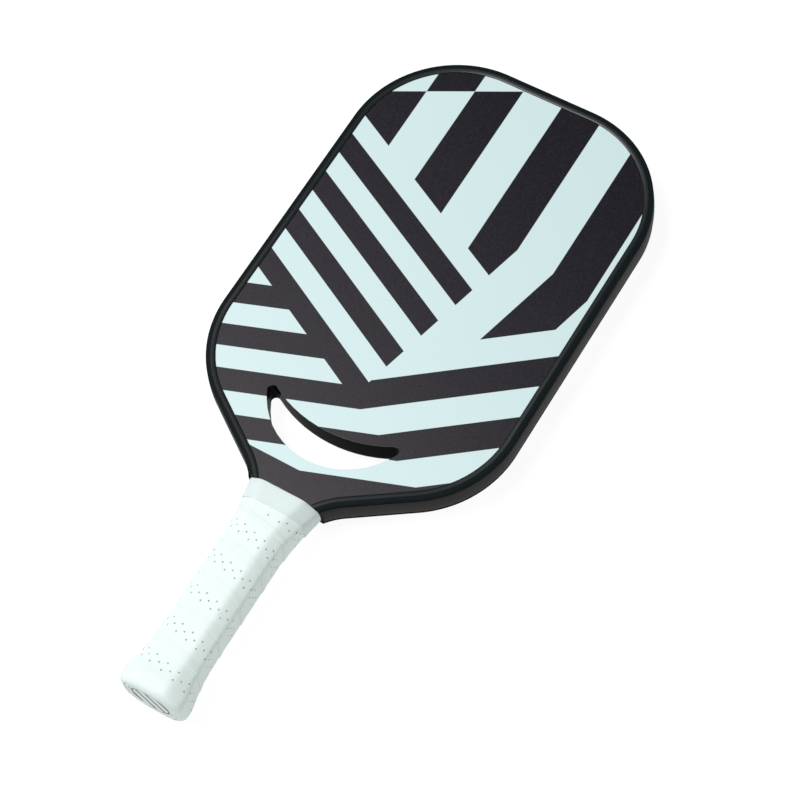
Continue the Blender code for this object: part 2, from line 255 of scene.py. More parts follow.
@dataclass(frozen=True)
class BandedPrint:
    """Matte two-tone print over a gritty carbon sheet, in fields of straight bands."""

    dark: Colour = (0.0044, 0.0043, 0.0085)
    # painted highlight: the colour of the glints painted on coarse grit
    glint: Colour = (0.014, 0.0135, 0.019)
    pale: Colour = (0.572, 0.720, 0.734)
    blur: float = 0.25
    top: Bands = Bands(Way.UPRIGHT, 50.0, 0.5, -2.5)
    left: Bands = Bands(Way.FALLING, 25.94, 0.5, 86.04)
    right: Bands = Bands(Way.LEANING, 51.5, 0.5, 17.6)
    low_right: Bands = Bands(Way.STEEP, 33.7, 0.5, 5.72)
    low_left: Bands = Bands(Way.RISING, 27.3, 0.5, -26.2)
    swap: Border = Border((-50.0, 186.0), 117.5)
    left_edge: Border = Border((0.0, 103.0), -116.565)
    ridge: Border = Border((34.7, 109.0), -15.0)
    right_edge: Border = Border((36.0, 112.0), -104.0)
    low_edge: Border = Border((36.0, 44.1), -53.13)
    foot_edge: Border = Border((0.0, -12.15), -116.565)
    throat: Border = Border((0.0, -64.0), -90.0)
    printed_from: float = 7.85        # distance from the mid-plane beyond which a face is printed

    def pattern(self, x: Value, y: Value) -> Value:
        """A mask that is 1 on the pale print.

        Upright bands at the top change tone across a slanting line, and give way, field by field, to
        falling bands on the left, leaning bands on the right and rising bands round the slot. Each
        field is laid over the ones before, so that no hairline is left between two of them. The two
        fields on the right share the ridge, so they are joined before they are laid.
        """
        def drawn(part: Union[Bands, Border]) -> Value:
            """A part's mask at this point."""
            return part.draw(x, y, self.blur)

        mask = (drawn(self.top) - drawn(self.swap)).abs()
        mask = mask.toward(drawn(self.left), drawn(self.left_edge))
        side = drawn(self.right).toward(drawn(self.low_right), drawn(self.low_edge))
        mask = mask.toward(side, drawn(self.right_edge) * drawn(self.ridge))
        mask = mask.toward(drawn(self.low_left), drawn(self.foot_edge))
        return mask * (1 - drawn(self.throat))

    def material(self) -> bpy.types.Material:
        """Flat colours with a fine grit in tone, roughness and relief, and painted glints on coarse grit;
        the sheet's cut edges stay bare.
        """
        graph = Graph("banded_print")
        x, y, z = graph.place()
        printed = (z - MID_HEIGHT).abs().above(self.printed_from, 0.1)
        pale = self.pattern(x, y) * printed
        grit, cloud, coarse = graph.noise(0.75, 3.0), graph.noise(22.0, 2.0), graph.noise(0.8, 2.0)
        dark = graph.blend(grit, tuple(c * 0.2 for c in self.dark), tuple(c * 1.8 for c in self.dark))
        # painted highlight: specks of coarse grit lifted to the glint colour
        dark = graph.blend(coarse.above(0.60, 0.16), dark, self.glint)
        bright = graph.blend(grit, tuple(c * 0.965 for c in self.pale), self.pale)
        weave = ((x * (2 * pi / 0.9)).sine() * (y * (2 * pi / 0.9)).sine() * 0.5 + 0.5)
        height = grit * 0.75 + weave * 0.25
        rough = 0.19 + grit * 0.06 + coarse * 0.18 + cloud * 0.03
        return graph.dress(Base_Color=graph.blend(pale, dark, bright), Roughness=rough,
                           Specular_IOR_Level=0.3, Normal=graph.relief(height, 0.035))


@dataclass(frozen=True)
class GuardPlastic:
    """Satin black moulded plastic: a smoother lip, a groove in painted shade and a paler, grained side
    wall.
    """

    lip: Colour = (0.0045, 0.0085, 0.0100)
    wall: Colour = (0.024, 0.0215, 0.0225)
    # painted shade: near black over the groove and the bead's foot
    groove: Colour = (0.0012, 0.0013, 0.0014)
    lip_from: float = 7.45            # distances from the mid-plane where the lip and the groove's painted shade start
    groove_from: float = 6.4

    def material(self) -> bpy.types.Material:
        """Colours by height: the wall's, the groove's painted shade, then the lip's, whose slope is
        polished.
        """
        graph = Graph("guard_plastic")
        _, _, z = graph.place()
        rise = (z - MID_HEIGHT).abs()
        lip, groove = rise.above(self.lip_from, 0.1), rise.above(self.groove_from, 0.15)
        grain, cloud = graph.noise(0.45, 3.0), graph.noise(30.0, 2.0)
        scuff = graph.noise(3.0, 4.0).above(0.66, 0.12)
        colour = graph.blend(grain, tuple(c * 0.5 for c in self.wall), tuple(c * 1.5 for c in self.wall))
        colour = graph.blend(scuff * 0.2, colour, tuple(c * 2.0 for c in self.wall))
        # painted shade in the groove and at the bead's foot
        colour = graph.blend(groove, colour, self.groove)
        colour = graph.blend(lip, colour, self.lip)
        rough = 0.46 + cloud * 0.06 + grain * 0.06
        return graph.dress(Base_Color=colour, Roughness=rough, Specular_IOR_Level=0.05,
                           Coat_Weight=graph.mark("slope") * 0.6, Coat_Roughness=0.27,
                           Normal=graph.relief(grain, 0.012))


@dataclass(frozen=True)
class LinerPlastic:
    """Deep black plastic, dull on its walls, with a slight orange peel."""

    colour: Colour = (0.0016, 0.0018, 0.0022)

    def material(self) -> bpy.types.Material:
        """Almost no grain, and a roughness that drifts a little."""
        graph = Graph("liner_plastic")
        peel, cloud = graph.noise(1.4, 2.0), graph.noise(12.0, 2.0)
        colour = graph.blend(cloud, self.colour, tuple(c * 1.7 for c in self.colour))
        return graph.dress(Base_Color=colour, Roughness=0.30 + cloud * 0.08, Specular_IOR_Level=0.005,
                           Normal=graph.relief(peel, 0.012))


@dataclass(frozen=True)
class GripLeather:
    """White synthetic leather: fine pores, soft creases, and painted shade along the seams and in the
    holes.
    """

    colour: Colour = (0.735, 0.83, 0.825)
    seam: Colour = (0.50, 0.57, 0.52)
    # painted shade along the seams, and deeper painted shade in the holes
    hole: Colour = (0.40, 0.43, 0.40)

    def material(self) -> bpy.types.Material:
        """Colour by the marks stored on the tape, which paint shade along the seams and in the holes;
        relief from pores and creases.
        """
        graph = Graph("grip_leather")
        pores, creases = graph.noise(0.42, 3.0), graph.noise(6.0, 3.0)
        cloud = graph.noise(28.0, 2.0)
        hole, seam = graph.mark("hole"), graph.mark("seam")
        colour = graph.blend(cloud, tuple(c * 0.97 for c in self.colour), self.colour)
        # painted shade: seams greyed and holes darkened by their marks
        colour = graph.blend(seam * 0.3, colour, self.seam)
        colour = graph.blend(hole, colour, self.hole)
        rough = 0.52 + pores * 0.12 + hole * 0.2
        normal = graph.relief(creases, 0.10, graph.relief(pores, 0.03))
        return graph.dress(Base_Color=colour, Roughness=rough, Specular_IOR_Level=0.4, Normal=normal)


@dataclass(frozen=True)
class CollarRubber:
    """Matte white silicone rubber."""

    colour: Colour = (0.655, 0.755, 0.755)

    def material(self) -> bpy.types.Material:
        """Even tone with a powdery micro relief."""
        graph = Graph("collar_rubber")
        dust, cloud = graph.noise(0.3, 3.0), graph.noise(9.0, 2.0)
        colour = graph.blend(cloud, tuple(c * 0.965 for c in self.colour), self.colour)
        return graph.dress(Base_Color=colour, Roughness=0.55 + dust * 0.1, Specular_IOR_Level=0.35,
                           Normal=graph.relief(dust, 0.008))


@dataclass(frozen=True)
class CapPlastic:
    """Satin white plastic of the butt cap; its badge is greyed where it is sunk."""

    name: str
    colour: Colour = (0.71, 0.80, 0.79)
    low: Colour = (0.20, 0.20, 0.205)
    sunk_from: Optional[float] = None         # mm above the butt end where the grey starts

    def material(self) -> bpy.types.Material:
        """White, with grey paint in whatever lies deeper than sunk_from."""
        graph = Graph(self.name)
        _, y, _ = graph.place()
        grain, cloud = graph.noise(0.5, 2.0), graph.noise(7.0, 2.0)
        colour = graph.blend(cloud, tuple(c * 0.97 for c in self.colour), self.colour)
        rough = 0.38 + grain * 0.1
        if self.sunk_from is not None:
            deep = y.above(BUTT_Y + self.sunk_from, 0.12)
            colour = graph.blend(deep, colour, self.low)
            rough = rough + deep * 0.1
        return graph.dress(Base_Color=colour, Roughness=rough, Normal=graph.relief(grain, 0.01))


@dataclass(frozen=True)
class HexagonCells:
    """Translucent white polymer honeycomb: cell walls round hollows in painted shade."""

    wall: Colour = (0.80, 0.81, 0.78)
    # painted shade for the open cells between the walls
    hollow: Colour = (0.36, 0.37, 0.35)
    cell: float = 8.0
    web: float = 0.45

    def material(self) -> bpy.types.Material:
        """Distance to the nearest of two interleaved hexagon grids gives each cell's wall."""
        graph = Graph("honeycomb_cells")
        x, y, _ = graph.place()
        tall = self.cell * sqrt(3.0)
        reach = []
        for shift in (0.0, 0.5):
            a = (((x / self.cell + shift).fraction() - 0.5) * self.cell).abs()
            b = (((y / tall + shift).fraction() - 0.5) * tall).abs()
            reach.append(a.at_least(a * 0.5 + b * (sqrt(3.0) / 2)))
        edge = self.cell / 2 - reach[0].at_most(reach[1])
        wall = 1 - edge.above(self.web, 0.15)
        haze = graph.noise(3.0, 2.0)
        # painted shade fills the hollows
        colour = graph.blend(wall, self.hollow, self.wall)
        return graph.dress(Base_Color=colour, Roughness=0.45 + haze * 0.15,
                           Normal=graph.relief(wall, 0.4))


@dataclass(frozen=True)
class Speckled:
    """A plain grained finish: foam, moulded shell or vinyl."""

    name: str
    colour: Colour
    grain: float
    depth: float
    roughness: float

    def material(self) -> bpy.types.Material:
        """Tone and relief from one grain size."""
        graph = Graph(self.name)
        grain = graph.noise(self.grain, 4.0)
        colour = graph.blend(grain, tuple(c * 0.75 for c in self.colour), self.colour)
        return graph.dress(Base_Color=colour, Roughness=self.roughness + grain * 0.1,
                           Normal=graph.relief(grain, self.depth))


# ---- Surfaces ----------------------------------------------------------------------------------------
class Skin:
    """A closed surface gathered from patches and welded where they meet."""

    def __init__(self) -> None:
        """Starts empty."""
        self._points: list[np.ndarray] = []
        self._marks: dict[str, list[np.ndarray]] = {}
        self._faces: list[np.ndarray] = []
        self._count = 0

    def place(self, points: np.ndarray, **marks: np.ndarray) -> np.ndarray:
        """Adds points.

        Args:
            points: coordinates in mm, in any layout, with X, Y, Z last.
            marks: numbers to store on the points, in the same layout.

        Returns:
            The points' numbers, in the same layout.
        """
        numbers = np.arange(self._count, self._count + points[..., 0].size)
        self._count += numbers.size
        for name in set(self._marks) | set(marks):
            before = self._count - numbers.size
            stored = self._marks.setdefault(name, [np.zeros(before)] if before else [])
            given = marks.get(name, np.zeros(points.shape[:-1]))
            stored.append(np.broadcast_to(given, points.shape[:-1]).ravel())
        self._points.append(points.reshape(-1, 3))
        return numbers.reshape(points.shape[:-1])

    def cover(self, numbers: np.ndarray) -> None:
        """Adds faces, one to a row of point numbers."""
        self._faces.append(numbers.reshape(-1, numbers.shape[-1]))

    def sheet(self, numbers: np.ndarray, round_rows: bool = False, round_columns: bool = False,
              keep: Optional[np.ndarray] = None) -> None:
        """Covers a grid of points with quads.

        Args:
            numbers: point numbers by row and column.
            round_rows: joins the last row to the first.
            round_columns: joins the last column to the first.
            keep: which quads to make, by row and column.
        """
        if round_rows:
            numbers = np.concatenate([numbers, numbers[:1]], axis=0)
        if round_columns:
            numbers = np.concatenate([numbers, numbers[:, :1]], axis=1)
        quads = np.stack([numbers[:-1, :-1], numbers[:-1, 1:], numbers[1:, 1:], numbers[1:, :-1]], -1)
        self.cover(quads if keep is None else quads[keep])

    def _welded(self) -> tuple[np.ndarray, np.ndarray, list[np.ndarray]]:
        """Points that coincide made one: kept points, which they were, and the faces left."""
        points = np.concatenate(self._points)
        _, first, where = np.unique(np.round(points, 4), axis=0, return_index=True, return_inverse=True)
        where = where.reshape(-1)
        kept = []
        for block in self._faces:
            block = where[block]
            real = block != np.roll(block, 1, axis=1)
            corners = real.sum(1)
            kept.append(block[corners == block.shape[1]])
            if block.shape[1] == 4:
                short = corners == 3
                kept.append(block[short][real[short]].reshape(-1, 3))
        return points[first], first, kept

    def make(self, name: str, sharp: float = 38.0) -> bpy.types.Object:
        """Turns the patches into one object.

        Args:
            name: the object's name.
            sharp: edges that bend more than this, in degrees, stay crisp.

        Returns:
            A smooth closed mesh object at the origin, with its faces pointing out.
        """
        points, first, blocks = self._welded()
        points = (points + np.array([0.0, 0.0, MID_HEIGHT])) * MM
        mesh = bpy.data.meshes.new(name)
        faces = [face for block in blocks for face in block.tolist()]
        mesh.from_pydata(points.tolist(), [], faces)
        for mark, stored in self._marks.items():
            layer = mesh.attributes.new(mark, "FLOAT", "POINT")
            layer.data.foreach_set("value", np.concatenate(stored)[first].astype(np.float32))
        shape = bmesh.new()
        shape.from_mesh(mesh)
        bmesh.ops.recalc_face_normals(shape, faces=shape.faces)
        shape.to_mesh(mesh)
        shape.free()
        mesh.shade_smooth()
        mesh.set_sharp_from_angle(angle=radians(sharp))
        made = bpy.data.objects.new(name, mesh)
        bpy.context.scene.collection.objects.link(made)
        return made


def put_on(piece: bpy.types.Object, material: bpy.types.Material) -> None:
    """Gives a piece or a CAD node one material in its slots."""
    piece.data.materials.clear()
    piece.data.materials.append(material)


def put_on_nodes(nodes: dict[str, bpy.types.Object],
                 materials: dict[str, bpy.types.Material]) -> None:
    """Dresses CAD nodes, by name, and reports each."""
    for name, material in materials.items():
        put_on(nodes[name], material)
        log.info("%s dressed in %s", name, material.name)


def joins(piece: bpy.types.Object, slot: str, *nodes: str) -> None:
    """Fixes a new piece to the frame in place of CAD nodes."""
    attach(piece, BODY)
    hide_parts(*nodes)
    faces = len(piece.data.polygons)
    log.info("%s stands for %s: %d faces", piece.name, ", ".join(nodes), faces)


def circle_points(x: float, y: float, radius: np.ndarray, angles: np.ndarray) -> np.ndarray:
    """Points on circles round (x, y), by radius and angle."""
    radius = np.asarray(radius)[..., None]
    return np.stack(np.broadcast_arrays(x + radius * np.cos(angles), y + radius * np.sin(angles)), -1)


def straight(start: np.ndarray, end: np.ndarray, steps: int) -> np.ndarray:
    """Points strictly between two lists of ends, evenly spaced."""
    share = (np.arange(1, steps) / steps)[:, None]
    return start[:, None, :] * (1 - share) + end[:, None, :] * share


def smooth_step(x: np.ndarray) -> np.ndarray:
    """A soft rise from 0 at 0 to 1 at 1."""
    x = np.clip(x, 0.0, 1.0)
    return x * x * (3 - 2 * x)


# ---- Panel -------------------------------------------------------------------------------------------
@dataclass(frozen=True)
class HeadOutline:
    """Plan of the head: one corner radius all round, straight shoulders and a concave throat."""

    half_width: float = 94.0
    top: float = 210.5
    corner: float = 66.0
    low_corner_y: float = 5.7
    shoulder: float = radians(33.9)
    throat: float = 40.0
    throat_half_width: float = 14.6
    end_y: float = -78.7

    def right_half(self, inset: np.ndarray) -> np.ndarray:
        """Right half of the outline, moved in.

        Arcs keep their centres and change their radii by the inset; the throat's, which is concave,
        grows instead, and ends where it meets the collar's edge.

        Args:
            inset: distances in from the outer edge, mm.

        Returns:
            Points by inset and by step from the top's middle to the throat, each X and Y.
        """
        inset = np.asarray(inset, float)
        x = self.half_width - self.corner
        turn = pi / 2 - self.shoulder
        normal = np.array([sin(self.shoulder), -cos(self.shoulder)])
        reach = normal @ (x, self.low_corner_y) + self.corner + self.throat
        throat_x = self.throat_half_width + self.throat
        throat_y = (reach - normal[0] * throat_x) / normal[1]
        last = pi - np.arcsin((self.end_y - throat_y) / (self.throat + inset))
        share = np.linspace(0.0, 1.0, 23)
        upper = circle_points(x, self.top - self.corner, self.corner - inset, np.linspace(pi / 2, 0, 44))
        lower = circle_points(x, self.low_corner_y, self.corner - inset, np.linspace(0, -turn, 30))
        bend = circle_points(throat_x, throat_y, self.throat + inset,
                             (pi - turn) * (1 - share) + last[:, None] * share)
        middle = np.stack([0 * inset, self.top - inset], -1)
        runs = [middle[:, None], straight(middle, upper[:, 0], 8), upper,
                straight(upper[:, -1], lower[:, 0], 22), lower,
                straight(lower[:, -1], bend[:, 0], 10), bend]
        return np.concatenate(runs, axis=1)

    def path(self, inset: np.ndarray) -> np.ndarray:
        """The whole outline from the left throat over the top to the right throat."""
        right = self.right_half(inset)
        left = right[:, :0:-1] * np.array([-1.0, 1.0])
        return np.concatenate([left, right], axis=1)


@dataclass(frozen=True)
class EdgeGuard:
    """The channel clipped round the head: crowned side wall, groove, bead and lip."""

    outline: HeadOutline = HeadOutline()
    finish: GuardPlastic = GuardPlastic()
    wall: float = 1.3
    lip_reach: float = 5.95
    half: float = 8.8
    seat: float = 8.03                # where the lip's inner edge meets the face
    web_reach: float = 10.9           # how far in the plates at the channel's two ends reach
    web: tuple[float, float] = (-78.75, -78.95)

    def section(self) -> np.ndarray:
        """Half of the guard's section, from the wall's middle to the channel's middle.

        The wall leans in by a power of its height; a groove is cut below the bead, which is a round;
        the lip is domed, and slopes to a small quarter round at its inner edge.

        Returns:
            Points of (inset, height).
        """
        height = np.linspace(0.0, 6.15, 12)
        crown = np.stack([0.36 * (height / 6.15) ** 2.4, height], -1)
        groove = np.array([(0.48, 6.42), (0.80, 6.62), (1.04, 6.74), (1.08, 7.0), (1.04, 7.22)])
        turn = np.linspace(-0.55, pi / 2, 12)
        bead = np.stack([1.28 - 0.84 * np.cos(turn), 7.92 + 0.86 * np.sin(turn)], -1)
        saddle = np.array([(1.75, 8.74), (2.1, 8.72), (2.5, 8.75), (2.9, 8.79), (3.3, 8.8)])
        bevel = np.array([(3.7, 8.78), (4.1, 8.745), (4.5, 8.70), (4.9, 8.65), (5.15, 8.61), (5.35, 8.56),
                          (5.55, 8.48)])
        turn = np.linspace(1.2, 0.0, 6)
        edge = np.stack([self.lip_reach - 0.3 + 0.3 * np.cos(turn), 8.17 + 0.3 * np.sin(turn)], -1)
        under = np.array([(self.lip_reach, self.seat), (4.8, self.seat), (4.5, 8.3),
                          (self.wall, 8.3), (self.wall, 0.0)])
        return np.concatenate([crown, groove, bead, saddle, bevel, edge, under])

    def build(self) -> bpy.types.Object:
        """The section carried along the head's outline, with a thin plate over each end."""
        half = self.section()
        lower = half[-2:0:-1] * np.array([1.0, -1.0])
        section = np.concatenate([half, lower])
        channel = np.abs(np.arange(len(section)) - (len(half) - 1)) < 4
        web = section.copy()
        web[channel, 0] = self.web_reach
        web[channel, 1] = np.clip(web[channel, 1], -8.0, 8.0)
        plan = self.outline.path(section[:, 0])
        end = self.outline.path(web[:, 0])[:, [0, -1]]
        plates = [np.stack([end[..., 0], np.full(end.shape[:2], y)], -1) for y in self.web]
        plan = np.concatenate([plates[1][:, :1], plates[0][:, :1], plan, plates[0][:, 1:],
                               plates[1][:, 1:]], axis=1)
        height = np.repeat(section[:, 1, None], plan.shape[1], axis=1)
        height[:, [0, 1, -2, -1]] = web[:, 1, None]
        skin = Skin()
        slope = np.clip((section[:, 0] - 3.0) / 0.8, 0, 1) * (np.abs(section[:, 1]) > 8.31)
        numbers = skin.place(np.concatenate([plan, height[..., None]], -1), slope=slope[:, None])
        skin.sheet(numbers, round_rows=True)
        skin.cover(numbers[None, :, 0])
        skin.cover(numbers[None, ::-1, -1])
        return skin.make("edge_guard_moulding", 32.0)

    def dress(self, piece: bpy.types.Object) -> None:
        """Satin black plastic."""
        put_on(piece, self.finish.material())


@dataclass(frozen=True)
class SlotLiner:
    """The thin black ring that lines the slot between the two faces, flush with their cut edges."""

    finish: LinerPlastic = LinerPlastic()
    top_centre: float = 42.1
    top_radius: float = 79.0
    low_centre: float = -10.7
    low_radius: float = 46.3
    end_radius: float = 2.8
    wall: float = 0.8
    half: float = 7.28                # just short of the faces' inner sides

    def outline(self, outset: np.ndarray) -> np.ndarray:
        """The slot's closed outline, moved out: two long arcs joined by two small round ends."""
        outset = np.asarray(outset, float)
        top, low = self.top_radius + self.end_radius, self.low_radius - self.end_radius
        apart = self.top_centre - self.low_centre
        drop = (top**2 - low**2 + apart**2) / (2 * apart)
        end_x, end_y = sqrt(top**2 - drop**2), self.top_centre - drop
        start = atan2(end_y - self.low_centre, end_x)
        stop = atan2(self.top_centre - end_y, -end_x)
        end = self.end_radius + outset
        turns = np.linspace(start, stop, 18)
        right = circle_points(end_x, end_y, end, turns)
        left = circle_points(-end_x, end_y, end, np.linspace(pi - stop, pi - start, 18))
        upper = circle_points(0.0, self.top_centre, self.top_radius - outset,
                              np.linspace(stop - pi, -stop, 60)[1:-1])
        lower = circle_points(0.0, self.low_centre, self.low_radius + outset,
                              np.linspace(-pi - start, start, 70)[1:-1])
        return np.concatenate([right, upper, left, lower], axis=1)

    def section(self) -> np.ndarray:
        """The ring's closed section of (outset, height): up the inner wall, down the outer one."""
        height = np.linspace(-self.half, self.half, 12)
        inner = np.stack([0 * height, height], -1)
        outer = np.stack([0 * height + self.wall, -height], -1)
        return np.concatenate([inner, outer])

    def build(self) -> bpy.types.Object:
        """The section carried round the slot."""
        section = self.section()
        plan = self.outline(section[:, 0])
        height = np.broadcast_to(section[:, 1, None], plan.shape[:2])
        skin = Skin()
        numbers = skin.place(np.concatenate([plan, height[..., None]], -1))
        skin.sheet(numbers, round_rows=True, round_columns=True)
        return skin.make("slot_liner_ring", 40.0)

    def dress(self, piece: bpy.types.Object) -> None:
        """Deep black plastic."""
        put_on(piece, self.finish.material())


@dataclass(frozen=True)
class Panel:
    """The faces, the core and its foams, which keep their CAD shapes."""

    face: BandedPrint = BandedPrint()
    core: HexagonCells = HexagonCells()
    foam: Speckled = Speckled("edge_foam", (0.70, 0.56, 0.30), 1.2, 0.12, 0.8)

    def dress(self, nodes: dict[str, bpy.types.Object]) -> None:
        """Puts the print, the cells and the foam on their CAD nodes."""
        face, foam = self.face.material(), self.foam.material()
        put_on_nodes(nodes, {"front_face": face, "back_face": face,
                             "honeycomb_core": self.core.material(),
                             "edge_foam": foam, "slot_foam": foam})


# ---- Handle ------------------------------------------------------------------------------------------
@dataclass(frozen=True)
class HandleForm:
    """The wrapped handle's shape: a soft octagon whose sizes change along its length.

    Each station is the distance from the butt end, half width, half thickness and the distance of the
    four chamfer facets from the axis.
    """

    stations: tuple[tuple[float, float, float, float], ...] = (
        (0.0, 19.3, 17.0, 19.6), (3.0, 19.5, 17.15, 19.8), (6.0, 19.4, 17.1, 19.7),
        (9.0, 19.1, 16.9, 19.4), (12.0, 18.5, 16.3, 18.9),
        (16.0, 17.6, 15.5, 18.1), (21.0, 16.8, 14.8, 17.3), (28.0, 16.1, 14.1, 16.7),
        (36.0, 15.8, 13.9, 16.5), (48.0, 15.7, 13.8, 16.4), (96.0, 15.7, 13.8, 16.4),
        (103.5, 16.2, 13.8, 16.5), (109.5, 17.0, 13.6, 16.7), (116.0, 18.3, 13.2, 16.8),
        (122.5, 19.4, 12.4, 16.8), (128.5, 20.7, 11.3, 16.7), (131.5, 21.3, 10.8, 16.6))
    chamfer: tuple[float, float] = (0.6204, 0.7843)      # facing of a chamfer facet
    softness: float = 26.0                               # the larger, the crisper the corners
    end_softness: float = 13.0                           # the same at the butt
    first_turn: float = -pi / 2
    plain: tuple[float, float, float] = (15.7, 13.8, 16.4)     # sizes of the straight stretch
    girth_share: float = 6.62                            # length once round over the mean size

    def sizes(self, along: np.ndarray) -> tuple[np.ndarray, np.ndarray, np.ndarray]:
        """Half width, half thickness and chamfer distance, on a smooth curve through the stations.

        Cubic pieces run between stations, with slopes that are the gentler of the two neighbours'
        and zero at a turning point, so that nothing overshoots.
        """
        table = np.array(self.stations)
        knots, values = table[:, 0], table[:, 1:]
        step = np.diff(knots)[:, None]
        rate = np.diff(values, axis=0) / step
        same = rate[1:] * rate[:-1] > 0
        middle = np.where(same, 2 * rate[1:] * rate[:-1] / np.where(same, rate[1:] + rate[:-1], 1), 0)
        slope = np.concatenate([rate[:1], middle, rate[-1:]])
        i = np.clip(np.searchsorted(knots, along, side="right") - 1, 0, len(knots) - 2)
        t = np.clip((along - knots[i]) / step[i, 0], -0.5, 1.5)[..., None]
        a, b, run = values[i], values[i + 1], step[i]
        curve = (a * (1 + 2 * t) * (1 - t) ** 2 + b * t * t * (3 - 2 * t)
                 + run * (slope[i] * t * (1 - t) ** 2 - slope[i + 1] * t * t * (1 - t)))
        return curve[..., 0], curve[..., 1], curve[..., 2]

    def radius(self, angle: np.ndarray, width: np.ndarray, thick: np.ndarray,
               chamfer: np.ndarray, along: Union[np.ndarray, float] = 50.0) -> np.ndarray:
        """Distance from the axis: a high power mean of the eight facets' planes rounds their corners.

        The power falls towards the butt, where the corners are softer. Without a distance along the
        handle, they are as crisp as on its straight stretch.
        """
        c, s = np.cos(angle), np.sin(angle)
        cx, cz = self.chamfer
        power = self.end_softness + (self.softness - self.end_softness) * smooth_step(along / 11.0)
        total = (np.abs(c) / width) ** power + (np.abs(s) / thick) ** power
        total = total + ((np.abs(c * cx) + np.abs(s * cz)) / chamfer) ** power
        return total ** (-1 / power)

    def angle(self, turn: np.ndarray) -> np.ndarray:
        """Angle at a share of the way round, so that equal shares are equal lengths of tape."""
        fine = np.linspace(0.0, 2 * pi, 2881)
        r = self.radius(fine + self.first_turn, *map(np.array, self.plain))
        x, z = r * np.cos(fine + self.first_turn), r * np.sin(fine + self.first_turn)
        length = np.concatenate([[0.0], np.cumsum(np.hypot(np.diff(x), np.diff(z)))])
        whole = np.floor(turn)
        return self.first_turn + np.interp(turn - whole, length / length[-1], fine)

    def girth(self, along: np.ndarray) -> np.ndarray:
        """Length once round, close to that of an ellipse-like mean of the sizes."""
        width, thick, chamfer = self.sizes(along)
        return self.girth_share * (width + thick + 2 * chamfer) / 4

    def at_angle(self, angle: np.ndarray, along: np.ndarray,
                 out: Union[np.ndarray, float] = 0.0) -> np.ndarray:
        """Points on the handle.

        Args:
            angle: direction from the axis.
            along: distance from the butt end, mm.
            out: height above the wrapped surface, mm.

        Returns:
            X, Y, Z of each point.
        """
        angle, along, out = np.broadcast_arrays(angle, along, out)
        width, thick, chamfer = self.sizes(along)
        r = self.radius(angle, width + out, thick + out, chamfer + out, along)
        return np.stack([r * np.cos(angle), BUTT_Y + along, r * np.sin(angle)], -1)

    def surface(self, turn: np.ndarray, along: np.ndarray,
                out: Union[np.ndarray, float] = 0.0) -> np.ndarray:
        """The same by how far round, in turns, instead of by angle."""
        return self.at_angle(self.angle(np.asarray(turn)), along, out)


